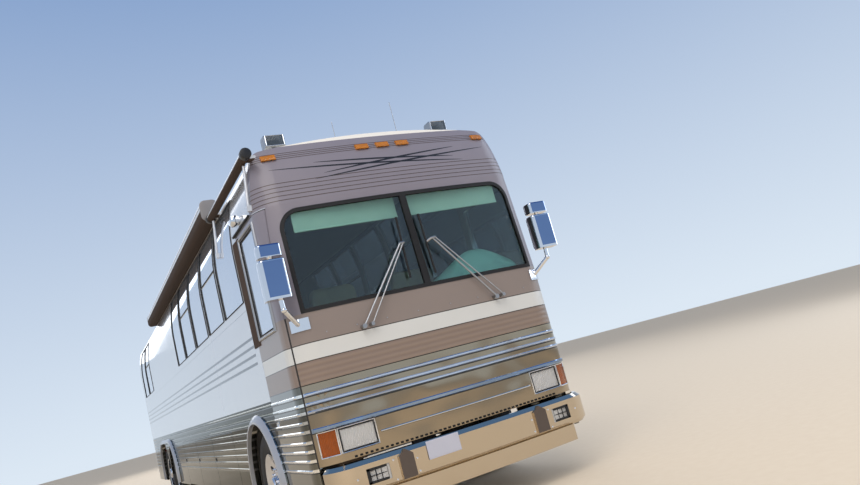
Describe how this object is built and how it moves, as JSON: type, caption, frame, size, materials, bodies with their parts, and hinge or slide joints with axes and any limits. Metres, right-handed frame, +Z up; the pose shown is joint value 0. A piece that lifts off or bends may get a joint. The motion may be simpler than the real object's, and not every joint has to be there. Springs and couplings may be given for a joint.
{
  "type": "motorhome",
  "caption": "Highway motorhome on a ribbed stainless coach shell: hollow cabin, steered front wheels, dual drive wheels, tag axle, hinged entry, luggage and engine doors.",
  "frame": {"origin": "on the ground under the middle of the vehicle's length and width", "axes": "+Y towards the rear, +X towards the vehicle's left (street) side, +Z up"},
  "size_m": [2.859, 13.72, 3.9848],
  "materials": {
    "cap_paint": "gloss paint on a moulded cap",
    "body_paint": "gloss silver-white paint",
    "side_paint": "gloss silver-white paint over polished lower panels",
    "polished_steel": "mirror-polished stainless steel",
    "bumper_steel": "mirror-polished steel",
    "clear_glass": "clear laminated glass, faintly green",
    "tinted_glass": "dark tinted glass",
    "black_rubber": "matt black rubber",
    "lamp_glass": "clear moulded lens",
    "amber_lens": "amber lens",
    "red_lens": "red lens",
    "chrome": "bright chrome",
    "satin_silver": "satin",
    "awning_case": "painted aluminium",
    "white_plastic": "moulded white",
    "floor_board": "sealed plywood",
    "bay_lining": "mill aluminium sheet",
    "frame_paint": "black chassis paint",
    "cast_iron": "grey-black cast iron",
    "dash_plastic": "pale moulded plastic",
    "seat_leather": "pale leather",
    "polished_alloy": "polished",
    "tyre": "black tyre rubber"
  },
  "bodies": {
    "coach": {"front_cap": "cap_paint", "windshield": "clear_glass", "windshield_frame": "black_rubber", "roof": "body_paint", "curb_wall": "side_paint", "street_wall": "side_paint", "side_glass": "tinted_glass", "front_panel": "polished_steel", "front_bumper": "bumper_steel", "headlamps": "lamp_glass", "amber_lamps": "amber_lens", "rear_cap": "body_paint", "tail_lamps": "red_lens", "rear_bumper": "bumper_steel", "mirrors": "chrome", "wipers": "satin_silver", "wiper_blades": "black_rubber", "awnings": "awning_case", "roof_lamps": "satin_silver", "roof_units": "white_plastic", "cabin_floor": "floor_board", "luggage_bays": "bay_lining", "frame_rails": "frame_paint", "frame_posts": "frame_paint", "cross_members": "frame_paint", "engine_cradle": "frame_paint", "engine_block": "cast_iron", "axles": "cast_iron", "dashboard": "dash_plastic", "seats": "seat_leather"},
    "entry_door": {"entry_door": "side_paint", "entry_door_glass": "tinted_glass"},
    "bay_door_curb_1": {"bay_door_curb_1": "polished_steel"},
    "bay_door_curb_2": {"bay_door_curb_2": "polished_steel"},
    "bay_door_curb_3": {"bay_door_curb_3": "polished_steel"},
    "bay_door_street_1": {"bay_door_street_1": "polished_steel"},
    "bay_door_street_2": {"bay_door_street_2": "polished_steel"},
    "bay_door_street_3": {"bay_door_street_3": "polished_steel"},
    "engine_door": {"engine_door": "polished_steel"},
    "knuckle_curb": {"knuckle_curb": "cast_iron"},
    "front_wheel_curb": {"front_rim_curb": "polished_alloy", "front_tyre_curb": "tyre"},
    "drive_wheels_curb": {"drive_rims_curb": "polished_alloy", "drive_tyres_curb": "tyre"},
    "tag_wheel_curb": {"tag_rim_curb": "polished_alloy", "tag_tyre_curb": "tyre"},
    "knuckle_street": {"knuckle_street": "cast_iron"},
    "front_wheel_street": {"front_rim_street": "polished_alloy", "front_tyre_street": "tyre"},
    "drive_wheels_street": {"drive_rims_street": "polished_alloy", "drive_tyres_street": "tyre"},
    "tag_wheel_street": {"tag_rim_street": "polished_alloy", "tag_tyre_street": "tyre"}
  },
  "joints": [
    {"name": "entry_door_hinge", "type": "hinge", "parent": "coach", "child": "entry_door", "pos_m": [-1.25502, -6.5097, 1.15], "axis": [0, 0, 1], "range_deg": [0, 80]},
    {"name": "bay_door_curb_1_hinge", "type": "hinge", "parent": "coach", "child": "bay_door_curb_1", "pos_m": [-1.285, -2.675, 1.098], "axis": [0, 1, 0], "range_deg": [0, 85]},
    {"name": "bay_door_curb_2_hinge", "type": "hinge", "parent": "coach", "child": "bay_door_curb_2", "pos_m": [-1.285, -1.135, 1.098], "axis": [0, 1, 0], "range_deg": [0, 85]},
    {"name": "bay_door_curb_3_hinge", "type": "hinge", "parent": "coach", "child": "bay_door_curb_3", "pos_m": [-1.285, 0.415, 1.098], "axis": [0, 1, 0], "range_deg": [0, 85]},
    {"name": "bay_door_street_1_hinge", "type": "hinge", "parent": "coach", "child": "bay_door_street_1", "pos_m": [1.285, -2.675, 1.098], "axis": [0, -1, 0], "range_deg": [0, 85]},
    {"name": "bay_door_street_2_hinge", "type": "hinge", "parent": "coach", "child": "bay_door_street_2", "pos_m": [1.285, -1.135, 1.098], "axis": [0, -1, 0], "range_deg": [0, 85]},
    {"name": "bay_door_street_3_hinge", "type": "hinge", "parent": "coach", "child": "bay_door_street_3", "pos_m": [1.285, 0.415, 1.098], "axis": [0, -1, 0], "range_deg": [0, 85]},
    {"name": "engine_door_hinge", "type": "hinge", "parent": "coach", "child": "engine_door", "pos_m": [0, 6.755, 1.7], "axis": [1, 0, 0], "range_deg": [0, 85]},
    {"name": "steer_curb", "type": "hinge", "parent": "coach", "child": "knuckle_curb", "pos_m": [-0.975, -4.9, 0.525], "axis": [0, 0, 1], "range_deg": [-38, 38]},
    {"name": "front_wheel_spin_curb", "type": "hinge", "parent": "knuckle_curb", "child": "front_wheel_curb", "pos_m": [-1.115, -4.9, 0.525], "axis": [1, 0, 0], "continuous": true},
    {"name": "drive_wheels_spin_curb", "type": "hinge", "parent": "coach", "child": "drive_wheels_curb", "pos_m": [-0.945, 3.14, 0.525], "axis": [1, 0, 0], "continuous": true},
    {"name": "tag_wheel_spin_curb", "type": "hinge", "parent": "coach", "child": "tag_wheel_curb", "pos_m": [-1.115, 4.38, 0.525], "axis": [1, 0, 0], "continuous": true},
    {"name": "steer_street", "type": "hinge", "parent": "coach", "child": "knuckle_street", "pos_m": [0.975, -4.9, 0.525], "axis": [0, 0, 1], "range_deg": [-38, 38]},
    {"name": "front_wheel_spin_street", "type": "hinge", "parent": "knuckle_street", "child": "front_wheel_street", "pos_m": [1.115, -4.9, 0.525], "axis": [1, 0, 0], "continuous": true},
    {"name": "drive_wheels_spin_street", "type": "hinge", "parent": "coach", "child": "drive_wheels_street", "pos_m": [0.945, 3.14, 0.525], "axis": [1, 0, 0], "continuous": true},
    {"name": "tag_wheel_spin_street", "type": "hinge", "parent": "coach", "child": "tag_wheel_street", "pos_m": [1.115, 4.38, 0.525], "axis": [1, 0, 0], "continuous": true}
  ],
  "couplings": [
    {"joint": "steer_street", "follows": "steer_curb", "ratio": 1}
  ]
}
